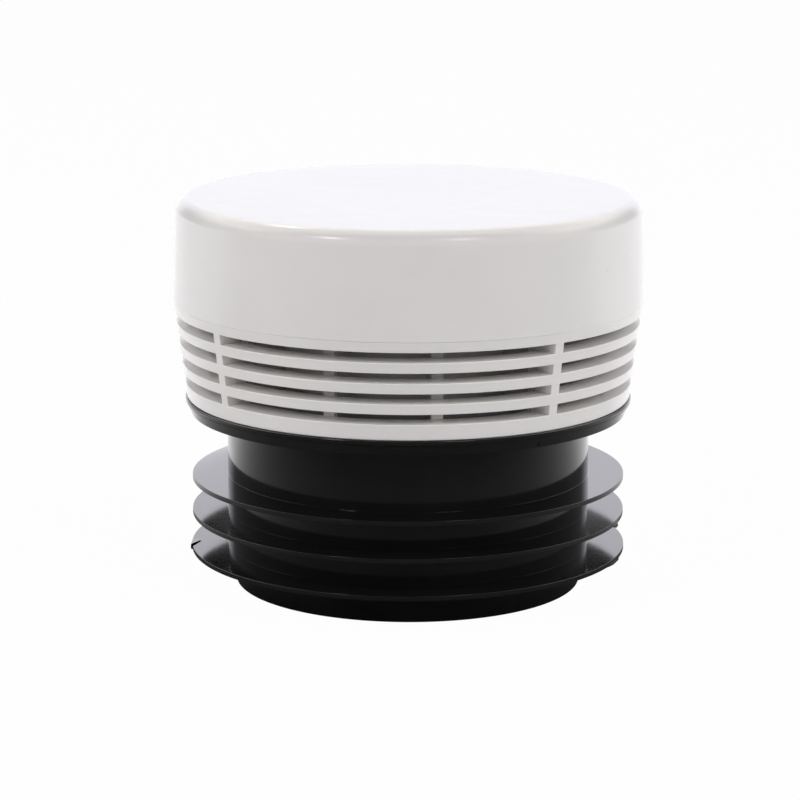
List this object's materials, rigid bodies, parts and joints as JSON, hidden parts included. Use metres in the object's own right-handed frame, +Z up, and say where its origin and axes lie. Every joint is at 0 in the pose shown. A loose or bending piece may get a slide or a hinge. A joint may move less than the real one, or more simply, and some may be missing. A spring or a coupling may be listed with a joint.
{
  "type": "air admittance valve",
  "caption": "Round white vented cap over a black finned rubber sleeve: a drain pipe's one-way air valve, whose ring membrane lifts off two seats to let air in.",
  "frame": {"origin": "on the valve's axis, at the bottom of the sleeve's foot", "axes": "+Z up along the valve's axis, -Y towards the viewer of the picture"},
  "size_m": [0.1244, 0.1244, 0.1034],
  "materials": {
    "white_plastic": "glossy moulded white",
    "inner_plastic": "moulded light grey, satin",
    "carrier_plastic": "moulded natural white",
    "black_rubber": "glossy black moulded rubber",
    "membrane_rubber": "red-brown silicone",
    "gasket_rubber": "matt grey rubber"
  },
  "bodies": {
    "housing": {"rubber_sleeve": "black_rubber", "grille_housing": "white_plastic", "floor_gasket": "gasket_rubber", "seat_body": "inner_plastic", "chamber_lid": "inner_plastic", "lid_gasket": "gasket_rubber", "cap": "white_plastic"},
    "membrane_plate": {"membrane_retainer": "carrier_plastic", "membrane": "membrane_rubber", "membrane_carrier": "carrier_plastic"}
  },
  "joints": [
    {"name": "membrane_lift", "type": "slide", "parent": "housing", "child": "membrane_plate", "axis": [0, 0, 1], "range_m": [0, 0.008]}
  ]
}
